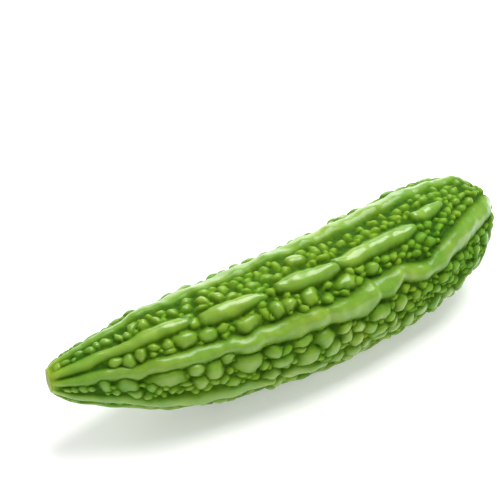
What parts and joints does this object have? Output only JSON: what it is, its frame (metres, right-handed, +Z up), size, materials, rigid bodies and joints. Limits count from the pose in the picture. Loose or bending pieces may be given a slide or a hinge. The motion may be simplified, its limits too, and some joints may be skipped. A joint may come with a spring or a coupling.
{
  "type": "bitter gourd",
  "caption": "Whole bitter gourd lying on its side: a gently bent spindle with lengthwise ridges, rounded warts between them and a round stalk scar.",
  "frame": {"origin": "under the middle of the gourd, on the surface that it lies on", "axes": "+Z up, +X from the stalk end to the blossom end, -Y towards the outside of the bend"},
  "size_m": [0.2194, 0.059, 0.0542],
  "materials": {
    "skin": "glossy green skin, paler on the ridges and warts"
  },
  "bodies": {
    "root": {"gourd": "skin"}
  },
  "joints": []
}
